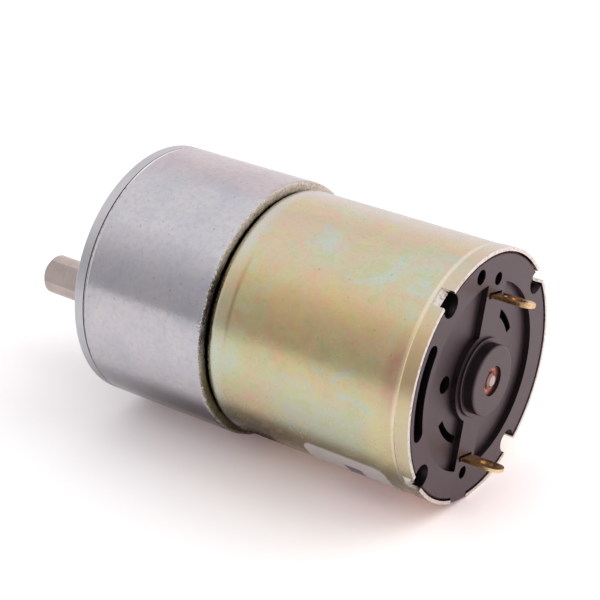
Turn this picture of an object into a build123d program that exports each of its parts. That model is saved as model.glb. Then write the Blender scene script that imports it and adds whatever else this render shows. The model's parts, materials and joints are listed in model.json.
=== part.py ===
from build123d import *
import math
import os

# Geared dc motor: a 37 mm spur gearbox on the front of a 35 mm brushed motor.
# All sizes are in millimetres.
# +X is the direction in which the output shaft points and +Z is up.
# The origin is the centre of the gearbox's front face, on the motor's own axis.

# ---------------------------------------------------------------- driving dimensions

# Gearbox housing
GEARBOX_R = 18.5
GEARBOX_LENGTH = 22.4
FLANGE_THICKNESS = 1.75
FRONT_PLATE_THICKNESS = 3.0
SHROUD_WALL = 1.0
SHROUD_LIP_R = 16.95
PLATE_FIT_GAP = 0.05
REAR_PLATE_X = (-21.5, -20.6)
REAR_PAD_R = 15.0
REAR_PAD_THICKNESS = 0.7
EDGE_CHAMFER = 0.3

# Mounting face
SCREW_CIRCLE_R = 15.5
SCREW_HOLE_R = 1.25
SCREW_HOLE_COUNT = 6
FIRST_SCREW_HOLE_DEG = 30.0
BOSS_R = 6.0
BOSS_LENGTH = 6.0
SHAFT_OFFSET = 7.0

# Output shaft
OUTPUT_R = 3.0
OUTPUT_TIP_X = 21.0
OUTPUT_JOURNAL_R = 1.5
FLAT_DEPTH = 0.5
FLAT_LENGTH = 15.0
FLAT_DEG = 35.0
TIP_CHAMFER = 0.5
RELIEF_WIDTH = 0.6
RELIEF_DEPTH = 0.25
RUNNING_GAP = 0.03

# Gear train: teeth, module and where each gear lies along X
PRESSURE_DEG = 25.0
ADDENDUM = 0.8
DEDENDUM = 1.05
BACKLASH = 0.10
PINION_TEETH = 12
WHEEL_TEETH = 36
OUTPUT_TEETH = 32
MODULE_1 = 0.4
MODULE_2 = 0.5
MODULE_3 = 0.6
FIRST_PIN_DEG = 23.25
MOTOR_PINION_X = (-18.2, -13.4)
WHEEL_1_X = (-17.0, -14.0)
PINION_1_X = (-14.0, -9.2)
WHEEL_2_X = (-12.4, -9.4)
PINION_2_X = (-9.4, -3.2)
OUTPUT_GEAR_X = (-8.2, -4.2)
PIN_R = 1.0
HUB_R = 2.2
HUB_END_X = -20.4

# Spacer posts between the two gearbox plates
POST_R = 1.9
POST_DEGS = (66.5, 180.0, 345.0)
POST_THREAD_R = 1.05
POST_THREAD_DEPTH = 5.5

# Motor can
CAN_R = 17.55
CAN_BAND_R = 17.65
CAN_WALL = 1.0
CAN_FRONT_X = REAR_PLATE_X[0] - REAR_PAD_THICKNESS
CAN_REAR_X = -55.0
CAN_CORNER_R = 1.7
CAN_BOSS_R = 3.9
CAN_BOSS_X = -19.8
CAP_SEAT_R = 17.15
CAP_SEAT_X = -52.5
BAND_X = -53.0
MOTOR_SCREW_R = 12.5

# End cap: heights are measured rearwards from the can's rear rim
CAP_R = 16.95
CAP_FACE_H = -0.1
CAP_RECESS_H = -0.95
CAP_RECESS_R = 13.1
CAP_BAND_HALF = 2.3
CAP_AXIS_DEG = 75.0
CAP_INNER_X = -52.0
CAP_SKIRT_R = 16.5
CAP_SKIRT_INNER_R = 15.6
CAP_SKIRT_X = -49.5
COLLAR_R = 6.2
RING_R = 5.5
RING_H = 0.3
CAP_BOSS_R = 4.9
CAP_BOSS_H = 1.8
CAP_BOSS_HOLE_R = 2.1
CRIMP_DEGS = (30.5, 120.5, 210.5, 300.5)
CRIMP_WIDTH = 2.7
POCKET_R = 1.65
POCKET_CENTRE_R = 16.2
POCKET_FLOOR_X = -52.9
KEY_DEG = 255.0
KEY_WIDTH = 4.1

# Motor inside
MOTOR_SHAFT_R = 1.0
BUSHING_R = 3.0
REAR_BUSHING_R = 3.5
MAGNET_INNER_R = 12.2
MAGNET_HALF_DEG = 65.0
MAGNET_X = (-44.5, -26.5)
CORE_R = 11.6
CORE_X = (-42.5, -28.5)
POLES = 5
NECK_WIDTH = 2.6
INSULATOR = 0.4
COIL_R = (4.6, 9.4)
COIL_HALF_WIDTH = (3.1, 5.4)
COIL_LIMIT_R = 9.5
COIL_END = 2.2
COMMUTATOR_R = 3.0
COMMUTATOR_HUB_R = 2.3
COMMUTATOR_X = (-50.8, -46.5)

# Terminals and brush gear
TERMINAL_R = 11.3
TERMINAL_WIDTH = 2.8
TERMINAL_THICKNESS = 0.45
TERMINAL_TIP_H = 5.65
TERMINAL_HOLE_R = 0.55
TERMINAL_HOLE_H = (2.2, 4.4)
TERMINAL_DIMPLE_R = 0.4
TERMINAL_DIMPLE_H = 1.5
HOLDER_X = (-50.4, -46.9)
HOLDER_R = (4.2, 14.5)
HOLDER_WIDTH = 3.4
HOLDER_WALL = 0.4
BRUSH_R = (3.05, 7.6)

# Label
LABEL_X = (-49.9, -36.9)
LABEL_DEGS = (-110.0, -29.5)
LABEL_THICKNESS = 0.1
LABEL_CORNER_R = 1.6

# ---------------------------------------------------------------- derived places

PLATE_R = GEARBOX_R - SHROUD_WALL - PLATE_FIT_GAP
WHOLE_X = (-65.0, 25.0)
PAST_SIDE = 20.0
OUTPUT_AXIS = (0.0, -SHAFT_OFFSET)
MOTOR_AXIS = (0.0, 0.0)


def at_angle(radius, degrees, centre=(0.0, 0.0)):
    """Point (y, z) at an angle from +Y towards +Z."""
    turn = math.radians(degrees)
    return (centre[0] + radius * math.cos(turn), centre[1] + radius * math.sin(turn))


def bearing(start, end):
    """Angle from +Y towards +Z of the line from one (y, z) point to another."""
    return math.degrees(math.atan2(end[1] - start[1], end[0] - start[0]))


def centre_distance(teeth_a, teeth_b, module):
    return (teeth_a + teeth_b) * module / 2


def circle_meeting(centre_a, radius_a, centre_b, radius_b):
    """Where two circles meet, on the right of the line from a to b seen from the front."""
    gap = math.dist(centre_a, centre_b)
    along = (radius_a**2 - radius_b**2 + gap**2) / (2 * gap)
    across = math.sqrt(radius_a**2 - along**2)
    turn = math.radians(bearing(centre_a, centre_b))
    y = centre_a[0] + along * math.cos(turn) + across * math.sin(turn)
    z = centre_a[1] + along * math.sin(turn) - across * math.cos(turn)
    return (y, z)


FIRST_PIN = at_angle(centre_distance(PINION_TEETH, WHEEL_TEETH, MODULE_1), FIRST_PIN_DEG)
SECOND_PIN = circle_meeting(
    FIRST_PIN,
    centre_distance(PINION_TEETH, WHEEL_TEETH, MODULE_2),
    OUTPUT_AXIS,
    centre_distance(PINION_TEETH, OUTPUT_TEETH, MODULE_3),
)

# ---------------------------------------------------------------- shape helpers


def station(x, centre=(0.0, 0.0)):
    """A plane across the motor: local x is +Y, local y is +Z, normal is +X."""
    return Plane(origin=(x, centre[0], centre[1]), x_dir=(0, 1, 0), z_dir=(1, 0, 0))


def disc(x_low, x_high, radius, centre=(0.0, 0.0)):
    return extrude(station(x_low, centre) * Circle(radius), x_high - x_low)


def bore(radius, centre=(0.0, 0.0)):
    """A cutter for a hole along the whole motor."""
    return disc(*WHOLE_X, radius, centre)


def tube(x_low, x_high, outer_r, inner_r, centre=(0.0, 0.0)):
    ring = Circle(outer_r) - Circle(inner_r)
    return extrude(station(x_low, centre) * ring, x_high - x_low)


def cone(x_low, x_high, radius_low, radius_high, centre=(0.0, 0.0)):
    height = x_high - x_low
    shape = Cone(radius_low, radius_high, height, align=(Align.CENTER, Align.CENTER, Align.MIN))
    return station(x_low, centre) * shape


def block(x_range, y_range, z_range):
    size = [high - low for low, high in (x_range, y_range, z_range)]
    middle = [(low + high) / 2 for low, high in (x_range, y_range, z_range)]
    return Pos(*middle) * Box(*size)


def sector_face(inner_r, outer_r, start_deg, end_deg):
    """A piece of a ring between two angles."""
    sweep = end_deg - start_deg
    outer = CenterArc((0, 0), outer_r, start_deg, sweep)
    inner = CenterArc((0, 0), inner_r, start_deg, sweep)
    sides = [Line(inner @ 0, outer @ 0), Line(inner @ 1, outer @ 1)]
    return make_face([outer, inner] + sides)


def sector(x_low, x_high, inner_r, outer_r, start_deg, end_deg):
    face = sector_face(inner_r, outer_r, start_deg, end_deg)
    return extrude(station(x_low) * face, x_high - x_low)


def about_x(degrees):
    """Turns a shape built towards +Y to an angle from +Y towards +Z."""
    return Rot(X=degrees)


def seen_from_rear(degrees):
    """The same turn for an angle counted anticlockwise as seen from behind."""
    return about_x(180.0 - degrees)


def behind_rim(height):
    return CAN_REAR_X - height


def cross_recess(x_mouth, centre, width, depth, direction):
    """The cutter for a screw head's cross recess."""
    x_end = x_mouth - direction * depth
    x_range = (min(x_end, x_mouth + direction), max(x_end, x_mouth + direction))
    y, z = centre
    thin = width / 7
    level = block(x_range, (y - width / 2, y + width / 2), (z - thin, z + thin))
    upright = block(x_range, (y - thin, y + thin), (z - width / 2, z + width / 2))
    return level + upright


def gear_face(teeth, module, tooth_deg):
    """A spur gear outline with one tooth centred on tooth_deg."""
    pitch_r = teeth * module / 2
    base_r = pitch_r * math.cos(math.radians(PRESSURE_DEG))
    root_r = pitch_r - DEDENDUM * module
    tip_r = pitch_r + ADDENDUM * module

    def involute(radius):
        pressure = math.acos(min(1.0, base_r / radius))
        return math.tan(pressure) - pressure

    half_at_pitch = (math.pi * module / 2 - BACKLASH / 2) / (2 * pitch_r)
    flank_start = max(base_r, root_r)
    flank = [flank_start + (tip_r - flank_start) * step / 3 for step in range(4)]
    half_angles = [half_at_pitch + involute(pitch_r) - involute(radius) for radius in flank]
    if root_r < base_r:
        flank.insert(0, root_r)
        half_angles.insert(0, half_angles[0])
    points = []
    for tooth in range(teeth):
        middle = math.radians(tooth_deg) + 2 * math.pi * tooth / teeth
        for radius, half in zip(flank, half_angles):
            points.append((radius * math.cos(middle - half), radius * math.sin(middle - half)))
        for radius, half in zip(reversed(flank), reversed(half_angles)):
            points.append((radius * math.cos(middle + half), radius * math.sin(middle + half)))
    return make_face(Polyline(*points, close=True))


def gear(teeth, module, x_range, centre, tooth_deg, bore_r):
    face = gear_face(teeth, module, tooth_deg) - Circle(bore_r)
    return extrude(station(x_range[0], centre) * face, x_range[1] - x_range[0])


def half_tooth(teeth):
    return 180.0 / teeth


def countersunk_screw(head_x, tip_x, head_r, head_depth, shank_r, centre):
    """A countersunk screw whose head faces +X at head_x."""
    body = cone(head_x - head_depth, head_x, shank_r, head_r, centre)
    body += disc(tip_x, head_x - head_depth, shank_r, centre)
    body -= cross_recess(head_x, centre, head_r * 1.2, head_depth * 0.6, 1)
    tip_edges = body.edges().group_by(Axis.X)[0]
    return chamfer(tip_edges, shank_r * 0.3)


# ---------------------------------------------------------------- gearbox housing

POST_PLACES = [at_angle(SCREW_CIRCLE_R, degrees) for degrees in POST_DEGS]
POST_SCREW_HEAD_R = 2.3
POST_SCREW_HEAD_DEPTH = 1.25
POST_SCREW_CLEARANCE_R = 1.45
POST_SCREW_TIP_GAP = 0.5
POST_STUB_R = 1.5
OUTPUT_BUSHING_R = 4.0
OUTPUT_BUSHING_RECESS = 0.4
OUTPUT_BUSHING_FLANGE_R = 5.2
OUTPUT_BUSHING_FLANGE = 0.6
REAR_BUSH_R = 2.3
REAR_BUSH_FLANGE_R = 2.7
REAR_BUSH_FLANGE = 0.5
SCREW_HEAD_SINK = 0.05
SINK_CLEARANCE = 0.1
MOTOR_SCREW_HEAD_R = 2.7
MOTOR_SCREW_HEAD_DEPTH = 1.25
MOTOR_SCREW_CLEARANCE_R = 1.6
MOTOR_SCREW_REACH = 0.5
MOTOR_SCREW_PLACES = [(0.0, MOTOR_SCREW_R), (0.0, -MOTOR_SCREW_R)]
CAN_BOSS_CLEARANCE = 0.1
PIN_FRONT_X = -0.15
PIN_REAR_X = CAN_FRONT_X + 0.1
PIN_CHAMFER = 0.15
FIRST_SPACER_R = 1.7
FIRST_SPACER_GAP = 0.15


def gearbox_front_plate():
    plate = disc(-FLANGE_THICKNESS, 0, GEARBOX_R)
    plate = chamfer(plate.edges().group_by(Axis.X)[-1], EDGE_CHAMFER)
    plate += disc(-FRONT_PLATE_THICKNESS, -FLANGE_THICKNESS, PLATE_R)
    boss = disc(0, BOSS_LENGTH, BOSS_R, OUTPUT_AXIS)
    plate += chamfer(boss.edges().group_by(Axis.X)[-1], EDGE_CHAMFER)
    plate -= disc(-FRONT_PLATE_THICKNESS, BOSS_LENGTH, OUTPUT_BUSHING_R, OUTPUT_AXIS)
    for index in range(SCREW_HOLE_COUNT):
        degrees = FIRST_SCREW_HOLE_DEG + index * 360 / SCREW_HOLE_COUNT
        place = at_angle(SCREW_CIRCLE_R, degrees)
        plate -= disc(-FRONT_PLATE_THICKNESS, 0, SCREW_HOLE_R, place)
        plate -= cone(-EDGE_CHAMFER, 0, SCREW_HOLE_R, SCREW_HOLE_R + EDGE_CHAMFER, place)
    for place in POST_PLACES:
        plate -= disc(-FRONT_PLATE_THICKNESS, 0, POST_SCREW_CLEARANCE_R, place)
        sink_r = POST_SCREW_HEAD_R + SINK_CLEARANCE
        plate -= cone(-POST_SCREW_HEAD_DEPTH, 0, POST_SCREW_CLEARANCE_R, sink_r, place)
    for place in (FIRST_PIN, SECOND_PIN):
        plate -= disc(-FRONT_PLATE_THICKNESS, 0, PIN_R, place)
    return plate


def gearbox_shroud():
    """A sleeve whose rear edge is rolled inwards behind the rear plate."""
    front_x = -FLANGE_THICKNESS - PLATE_FIT_GAP
    shroud = tube(-GEARBOX_LENGTH, front_x, GEARBOX_R, GEARBOX_R - SHROUD_WALL)
    shroud += tube(-GEARBOX_LENGTH, REAR_PLATE_X[0] - PLATE_FIT_GAP, GEARBOX_R, SHROUD_LIP_R)
    outer_rear = shroud.edges().group_by(Axis.X)[0].sort_by(SortBy.LENGTH)[-1]
    return chamfer(outer_rear, EDGE_CHAMFER / 2)


def gearbox_rear_plate():
    """A round plate with a smaller raised pad that the motor's front face sits on."""
    rear_x, front_x = REAR_PLATE_X
    plate = disc(rear_x, front_x, PLATE_R)
    for place in POST_PLACES:
        plate -= disc(rear_x, front_x, POST_STUB_R, place)
    plate += disc(CAN_FRONT_X, rear_x, REAR_PAD_R)
    plate -= bore(CAN_BOSS_R + CAN_BOSS_CLEARANCE)
    plate -= bore(REAR_BUSH_R, OUTPUT_AXIS)
    for place in (FIRST_PIN, SECOND_PIN):
        plate -= bore(PIN_R, place)
    sink_x = front_x - MOTOR_SCREW_HEAD_DEPTH
    sink_r = MOTOR_SCREW_HEAD_R + SINK_CLEARANCE
    for place in MOTOR_SCREW_PLACES:
        plate -= bore(MOTOR_SCREW_CLEARANCE_R, place)
        plate -= cone(sink_x, front_x, MOTOR_SCREW_CLEARANCE_R, sink_r, place)
    return plate


def spacer_posts():
    rear_x, front_x = REAR_PLATE_X
    posts = []
    for place in POST_PLACES:
        post = disc(front_x, -FRONT_PLATE_THICKNESS, POST_R, place)
        post += disc(rear_x, front_x, POST_STUB_R, place)
        thread_end = -FRONT_PLATE_THICKNESS - POST_THREAD_DEPTH
        post -= disc(thread_end, -FRONT_PLATE_THICKNESS, POST_THREAD_R, place)
        posts.append(post)
    return Compound(posts)


def front_plate_screws():
    tip_x = -FRONT_PLATE_THICKNESS - POST_THREAD_DEPTH + POST_SCREW_TIP_GAP
    screws = []
    for place in POST_PLACES:
        screw = countersunk_screw(
            -SCREW_HEAD_SINK, tip_x, POST_SCREW_HEAD_R, POST_SCREW_HEAD_DEPTH, POST_THREAD_R, place
        )
        screws.append(screw)
    return Compound(screws)


def gear_pin(place):
    pin = disc(PIN_REAR_X, PIN_FRONT_X, PIN_R, place)
    return chamfer(pin.edges().filter_by(GeomType.CIRCLE), PIN_CHAMFER)


def first_gear_spacer():
    rear_x = PINION_1_X[1] + FIRST_SPACER_GAP
    return tube(rear_x, -FRONT_PLATE_THICKNESS, FIRST_SPACER_R, PIN_R, FIRST_PIN)


def output_front_bushing():
    plate_x = -FRONT_PLATE_THICKNESS
    front_x = BOSS_LENGTH - OUTPUT_BUSHING_RECESS
    bushing = disc(plate_x, front_x, OUTPUT_BUSHING_R, OUTPUT_AXIS)
    flange_x = plate_x - OUTPUT_BUSHING_FLANGE
    bushing += disc(flange_x, plate_x, OUTPUT_BUSHING_FLANGE_R, OUTPUT_AXIS)
    return bushing - bore(OUTPUT_R + RUNNING_GAP, OUTPUT_AXIS)


def output_rear_bushing():
    plate_x = REAR_PLATE_X[1]
    bushing = disc(PIN_REAR_X, plate_x, REAR_BUSH_R, OUTPUT_AXIS)
    bushing += disc(plate_x, plate_x + REAR_BUSH_FLANGE, REAR_BUSH_FLANGE_R, OUTPUT_AXIS)
    return bushing - bore(OUTPUT_JOURNAL_R + RUNNING_GAP, OUTPUT_AXIS)


def motor_screws():
    head_x = REAR_PLATE_X[1] - SCREW_HEAD_SINK
    tip_x = CAN_FRONT_X - CAN_WALL - MOTOR_SCREW_REACH
    screws = []
    for place in MOTOR_SCREW_PLACES:
        screw = countersunk_screw(
            head_x, tip_x, MOTOR_SCREW_HEAD_R, MOTOR_SCREW_HEAD_DEPTH, SCREW_HOLE_R, place
        )
        screws.append(screw)
    return Compound(screws)


# ---------------------------------------------------------------- motor can

CRIMP_START_X = -53.1
CRIMP_TIP_X = -53.9
CRIMP_TIP_R = 16.8
CRIMP_THICKNESS = 0.5
CRIMP_BEND = 0.3
CRIMP_SIDE_GAP = 0.05
CUT_MARGIN = 1.0
BAND_SLOPE = 0.2
FRONT_BUSHING_LENGTH = 2.0
FRONT_BUSHING_RECESS = 0.1
CLIP_WALL = 0.4
CLIP_INNER_R = 13.2
CLIP_LEG_DEG = 1.5
CLIP_END_GAP = 3.0


def radial_slab(points, width):
    """A slab of the given width, towards +Y, from its (x, radius) outline."""
    face = Plane.XY.offset(-width / 2) * make_face(Polyline(*points, close=True))
    return extrude(face, width)


def crimp_tab():
    """The tongue of can wall that is pressed down into the cap's pocket."""
    step = CRIMP_THICKNESS * math.sqrt(0.5)
    points = [
        (CRIMP_START_X + CRIMP_BEND, CAN_R),
        (CRIMP_START_X, CAN_R),
        (CRIMP_TIP_X, CRIMP_TIP_R),
        (CRIMP_TIP_X + step, CRIMP_TIP_R - step),
        (CRIMP_START_X + CRIMP_BEND, CAN_R - CRIMP_BEND),
    ]
    return radial_slab(points, CRIMP_WIDTH - 2 * CRIMP_SIDE_GAP)


def crimp_notch():
    """What is cleared above the pressed tongue, out to past the rim."""
    points = [
        (CRIMP_START_X, CAN_R + CUT_MARGIN),
        (CRIMP_START_X, CAN_R),
        (CRIMP_TIP_X, CRIMP_TIP_R),
        (CAN_REAR_X - CUT_MARGIN, CRIMP_TIP_R),
        (CAN_REAR_X - CUT_MARGIN, CAN_R + CUT_MARGIN),
    ]
    return radial_slab(points, CRIMP_WIDTH)


def motor_can():
    flat_r = CAN_R - CAN_CORNER_R
    inner_r = CAN_R - CAN_WALL
    inner_front_x = CAN_FRONT_X - CAN_WALL
    tangent_x = CAN_FRONT_X - CAN_CORNER_R
    outer_corner = RadiusArc((CAN_FRONT_X, flat_r), (tangent_x, CAN_R), -CAN_CORNER_R)
    inner_corner = RadiusArc(
        (tangent_x, inner_r), (inner_front_x, flat_r), CAN_CORNER_R - CAN_WALL
    )
    front = Polyline(
        (inner_front_x, flat_r),
        (inner_front_x, BUSHING_R),
        (CAN_BOSS_X, BUSHING_R),
        (CAN_BOSS_X, CAN_BOSS_R),
        (CAN_FRONT_X, CAN_BOSS_R),
        (CAN_FRONT_X, flat_r),
    )
    wall = Polyline(
        (tangent_x, CAN_R),
        (BAND_X + BAND_SLOPE, CAN_R),
        (BAND_X, CAN_BAND_R),
        (CAN_REAR_X, CAN_BAND_R),
        (CAN_REAR_X, CAP_SEAT_R),
        (CAP_SEAT_X, CAP_SEAT_R),
        (CAP_SEAT_X, inner_r),
        (tangent_x, inner_r),
    )
    section = make_face([outer_corner, inner_corner, front, wall])
    can = revolve(section, Axis.X)
    for place in MOTOR_SCREW_PLACES:
        can -= disc(inner_front_x, CAN_FRONT_X, SCREW_HOLE_R, place)
    for degrees in CRIMP_DEGS:
        can += seen_from_rear(degrees) * crimp_tab()
        can -= seen_from_rear(degrees) * crimp_notch()
    key_x = (CAN_REAR_X - CUT_MARGIN, CAP_SEAT_X)
    key_slot = block(key_x, (CAP_R, PAST_SIDE), (-KEY_WIDTH / 2, KEY_WIDTH / 2))
    return can - seen_from_rear(KEY_DEG) * key_slot


def can_label():
    low_x, high_x = LABEL_X
    label = sector(low_x, high_x, CAN_R, CAN_R + LABEL_THICKNESS, *LABEL_DEGS)
    corners = [edge for edge in label.edges() if edge.length < 2 * LABEL_THICKNESS]
    return fillet(corners, LABEL_CORNER_R)


def front_motor_bushing():
    rear_x = CAN_FRONT_X - FRONT_BUSHING_LENGTH
    front_x = CAN_BOSS_X - FRONT_BUSHING_RECESS
    return tube(rear_x, front_x, BUSHING_R, MOTOR_SHAFT_R + RUNNING_GAP)


def magnets():
    arcs = []
    for side in (0.0, 180.0):
        start = side - MAGNET_HALF_DEG
        end = side + MAGNET_HALF_DEG
        arcs.append(sector(*MAGNET_X, MAGNET_INNER_R, CAN_R - CAN_WALL, start, end))
    return Compound(arcs)


def magnet_clips():
    """Two spring strips bent into shallow channels that push the magnets apart."""
    outer_r = CAN_R - CAN_WALL
    half_gap = 90.0 - MAGNET_HALF_DEG
    x_range = (MAGNET_X[0] + CLIP_END_GAP, MAGNET_X[1] - CLIP_END_GAP)
    clips = []
    for side in (90.0, 270.0):
        start, end = side - half_gap, side + half_gap
        clip = sector(*x_range, outer_r - CLIP_WALL, outer_r, start, end)
        clip += sector(*x_range, CLIP_INNER_R, outer_r, start, start + CLIP_LEG_DEG)
        clip += sector(*x_range, CLIP_INNER_R, outer_r, end - CLIP_LEG_DEG, end)
        clips.append(clip)
    return Compound(clips)


# ---------------------------------------------------------------- end cap

REAR_BUSHING_X = (behind_rim(1.3), -51.5)
REAR_BUSHING_WALL = 1.5
BUSHING_MOUTH_CHAMFER = 0.3
CAP_EDGE_CHAMFER = 0.15
CAP_BOSS_FILLET = 0.3
RING_FILLET = 0.12
CAP_TOP_H = 3.0
VENT_R = 15.1
VENT_WIDTH = 2.05
VENT_DEGS = (143.5, 185.7)
SLOT_R = 8.95
SLOT_WIDTH = 1.05
SLOT_DEGS = ((19.5, 58.0), (202.0, 238.5))
TERMINAL_SLOT = (0.85, 3.3)
SMALL_HOLE_R = 0.9
SMALL_HOLE_PLACE = (13.5, 0.0)
SIDE_HOLE_R = 1.2
SIDE_HOLE_PLACE = (7.9, 0.0)
RIM_HOLE_R = 1.05
RIM_HOLE_PLACE = (15.05, 0.0)
RIM_HOLE_DEG = 93.7
KEY_SIDE_GAP = 0.05
KEY_DEPTH = 0.2
HOLDER_SEAT_MARGIN = 0.5


def curved_slot(radius, width, start_deg, end_deg, x_range):
    """A round-ended slot along an arc; angles are seen from behind."""
    start, end = 180.0 - end_deg, 180.0 - start_deg
    slot = sector(*x_range, radius - width / 2, radius + width / 2, start, end)
    for degrees in (start, end):
        slot += disc(*x_range, width / 2, at_angle(radius, degrees))
    return slot


def square_slot(radius, width, start_deg, end_deg, x_range):
    """A square-ended slot along an arc; angles are seen from behind."""
    half = width / 2
    return sector(*x_range, radius - half, radius + half, 180.0 - end_deg, 180.0 - start_deg)


def cap_recess():
    """One shallow half-moon of the cap's rear face, towards +Y."""
    x_range = (behind_rim(CAP_TOP_H), behind_rim(CAP_RECESS_H))
    half_plane = block(x_range, (CAP_BAND_HALF, PAST_SIDE), (-PAST_SIDE, PAST_SIDE))
    moon = disc(*x_range, CAP_RECESS_R) & half_plane
    return moon - disc(*x_range, COLLAR_R)


def brush_seat():
    """The block inside the cap, towards +Y, that a brush holder stands on."""
    y_range = (CAP_BOSS_R + HOLDER_SEAT_MARGIN, HOLDER_R[1] - HOLDER_SEAT_MARGIN)
    return block((CAP_INNER_X, HOLDER_X[0]), y_range, (-HOLDER_WIDTH / 2, HOLDER_WIDTH / 2))


def blade_slot():
    """The slot that a terminal comes out through, towards +Y."""
    depth, width = TERMINAL_SLOT
    y_range = (TERMINAL_R - depth / 2, TERMINAL_R + depth / 2)
    return block((behind_rim(CAP_TOP_H), HOLDER_X[0]), y_range, (-width / 2, width / 2))


def cap_key():
    """The tongue on the cap's edge, towards +Y, that fits the can's key slot."""
    x_range = (behind_rim(CAP_FACE_H), CAP_SEAT_X - KEY_DEPTH)
    half = KEY_WIDTH / 2 - KEY_SIDE_GAP
    tongue = block(x_range, (CAP_R - CUT_MARGIN, PAST_SIDE), (-half, half))
    return tongue & disc(*x_range, CAN_R)


def end_cap():
    face_x = behind_rim(CAP_FACE_H)
    through_x = (behind_rim(CAP_TOP_H), CAP_SKIRT_X)
    cap = disc(face_x, CAP_SEAT_X, CAP_R)
    cap = chamfer(cap.edges().group_by(Axis.X)[0], CAP_EDGE_CHAMFER)
    cap += disc(CAP_SEAT_X, CAP_SKIRT_X, CAP_SKIRT_R)
    cap -= disc(CAP_INNER_X, CAP_SKIRT_X, CAP_SKIRT_INNER_R)
    for side in (90.0, 270.0):
        cap -= seen_from_rear(CAP_AXIS_DEG + side) * cap_recess()
    ring = disc(behind_rim(RING_H), face_x, RING_R)
    cap += fillet(ring.edges().group_by(Axis.X)[0], RING_FILLET)
    boss = disc(behind_rim(CAP_BOSS_H), face_x, CAP_BOSS_R)
    cap += fillet(boss.edges().group_by(Axis.X)[0], CAP_BOSS_FILLET)
    cap += disc(CAP_INNER_X, REAR_BUSHING_X[1], REAR_BUSHING_R + REAR_BUSHING_WALL)
    cap += seen_from_rear(KEY_DEG) * cap_key()
    for side in (0.0, 180.0):
        cap += seen_from_rear(CAP_AXIS_DEG + side) * brush_seat()
        cap -= seen_from_rear(CAP_AXIS_DEG + side) * blade_slot()
        small_hole = disc(*through_x, SMALL_HOLE_R, SMALL_HOLE_PLACE)
        cap -= seen_from_rear(CAP_AXIS_DEG + side) * small_hole
        side_hole = disc(*through_x, SIDE_HOLE_R, SIDE_HOLE_PLACE)
        cap -= seen_from_rear(CAP_AXIS_DEG + side + 90) * side_hole
    cap -= disc(*REAR_BUSHING_X, REAR_BUSHING_R)
    cap -= disc(through_x[0], REAR_BUSHING_X[0], CAP_BOSS_HOLE_R)
    cap -= curved_slot(VENT_R, VENT_WIDTH, *VENT_DEGS, through_x)
    for degrees in SLOT_DEGS:
        cap -= square_slot(SLOT_R, SLOT_WIDTH, *degrees, through_x)
    cap -= seen_from_rear(RIM_HOLE_DEG) * disc(*through_x, RIM_HOLE_R, RIM_HOLE_PLACE)
    for degrees in CRIMP_DEGS:
        pocket = disc(through_x[0], POCKET_FLOOR_X, POCKET_R, (POCKET_CENTRE_R, 0))
        cap -= seen_from_rear(degrees) * pocket
    return cap


def rear_motor_bushing():
    bushing = tube(*REAR_BUSHING_X, REAR_BUSHING_R, MOTOR_SHAFT_R + RUNNING_GAP)
    mouth = bushing.edges().group_by(Axis.X)[0].sort_by(SortBy.LENGTH)[0]
    return chamfer(mouth, BUSHING_MOUTH_CHAMFER)


# ---------------------------------------------------------------- terminals and brushes

BRUSH_SIDE_GAP = 0.05
SPRING_WIRE_R = 0.16
SPRING_COIL_R = 0.85
SPRING_TURNS = 6


def terminal():
    """A tab terminal towards +Y, standing out of the cap from its brush holder."""
    half = TERMINAL_WIDTH / 2
    y_range = (TERMINAL_R - TERMINAL_THICKNESS / 2, TERMINAL_R + TERMINAL_THICKNESS / 2)
    round_x = behind_rim(TERMINAL_TIP_H - half)
    blade = block((round_x, HOLDER_X[0]), y_range, (-half, half))

    def across(x, radius):
        plane = Plane(origin=(x, y_range[0], 0), x_dir=(1, 0, 0), z_dir=(0, 1, 0))
        return extrude(plane * Circle(radius), TERMINAL_THICKNESS)

    blade += across(round_x, half)
    low_h, high_h = TERMINAL_HOLE_H
    hole_x = (behind_rim(high_h - TERMINAL_HOLE_R), behind_rim(low_h + TERMINAL_HOLE_R))
    for x in hole_x:
        blade -= across(x, TERMINAL_HOLE_R)
    blade -= block(hole_x, y_range, (-TERMINAL_HOLE_R, TERMINAL_HOLE_R))
    dimple_y = y_range[1] + TERMINAL_DIMPLE_R / 2
    return blade - Pos(behind_rim(TERMINAL_DIMPLE_H), dimple_y, 0) * Sphere(TERMINAL_DIMPLE_R)


def on_brush_axis(shape):
    return Compound([seen_from_rear(CAP_AXIS_DEG + side) * shape for side in (0.0, 180.0)])


def brush_holder():
    """A folded brass box, open towards the commutator and closed behind the spring."""
    half = HOLDER_WIDTH / 2
    holder = block(HOLDER_X, HOLDER_R, (-half, half))
    inner_x = (HOLDER_X[0] + HOLDER_WALL, HOLDER_X[1] - HOLDER_WALL)
    inner_y = (HOLDER_R[0], HOLDER_R[1] - HOLDER_WALL)
    return holder - block(inner_x, inner_y, (-half + HOLDER_WALL, half - HOLDER_WALL))


def brush():
    margin = HOLDER_WALL + BRUSH_SIDE_GAP
    half = HOLDER_WIDTH / 2 - margin
    x_range = (HOLDER_X[0] + margin, HOLDER_X[1] - margin)
    return block(x_range, (0, BRUSH_R[1]), (-half, half)) - bore(BRUSH_R[0])


def brush_spring():
    """A coil spring between the brush and the closed end of its holder."""
    start = BRUSH_R[1] + SPRING_WIRE_R
    length = HOLDER_R[1] - HOLDER_WALL - SPRING_WIRE_R - start
    line = Helix(pitch=length / SPRING_TURNS, height=length, radius=SPRING_COIL_R)
    wire = Plane(origin=line @ 0, z_dir=line % 0) * Circle(SPRING_WIRE_R)
    coil = sweep(wire, path=line, is_frenet=True)
    middle_x = (HOLDER_X[0] + HOLDER_X[1]) / 2
    return Pos(middle_x, start, 0) * Rot(X=-90) * coil


# ---------------------------------------------------------------- armature

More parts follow.
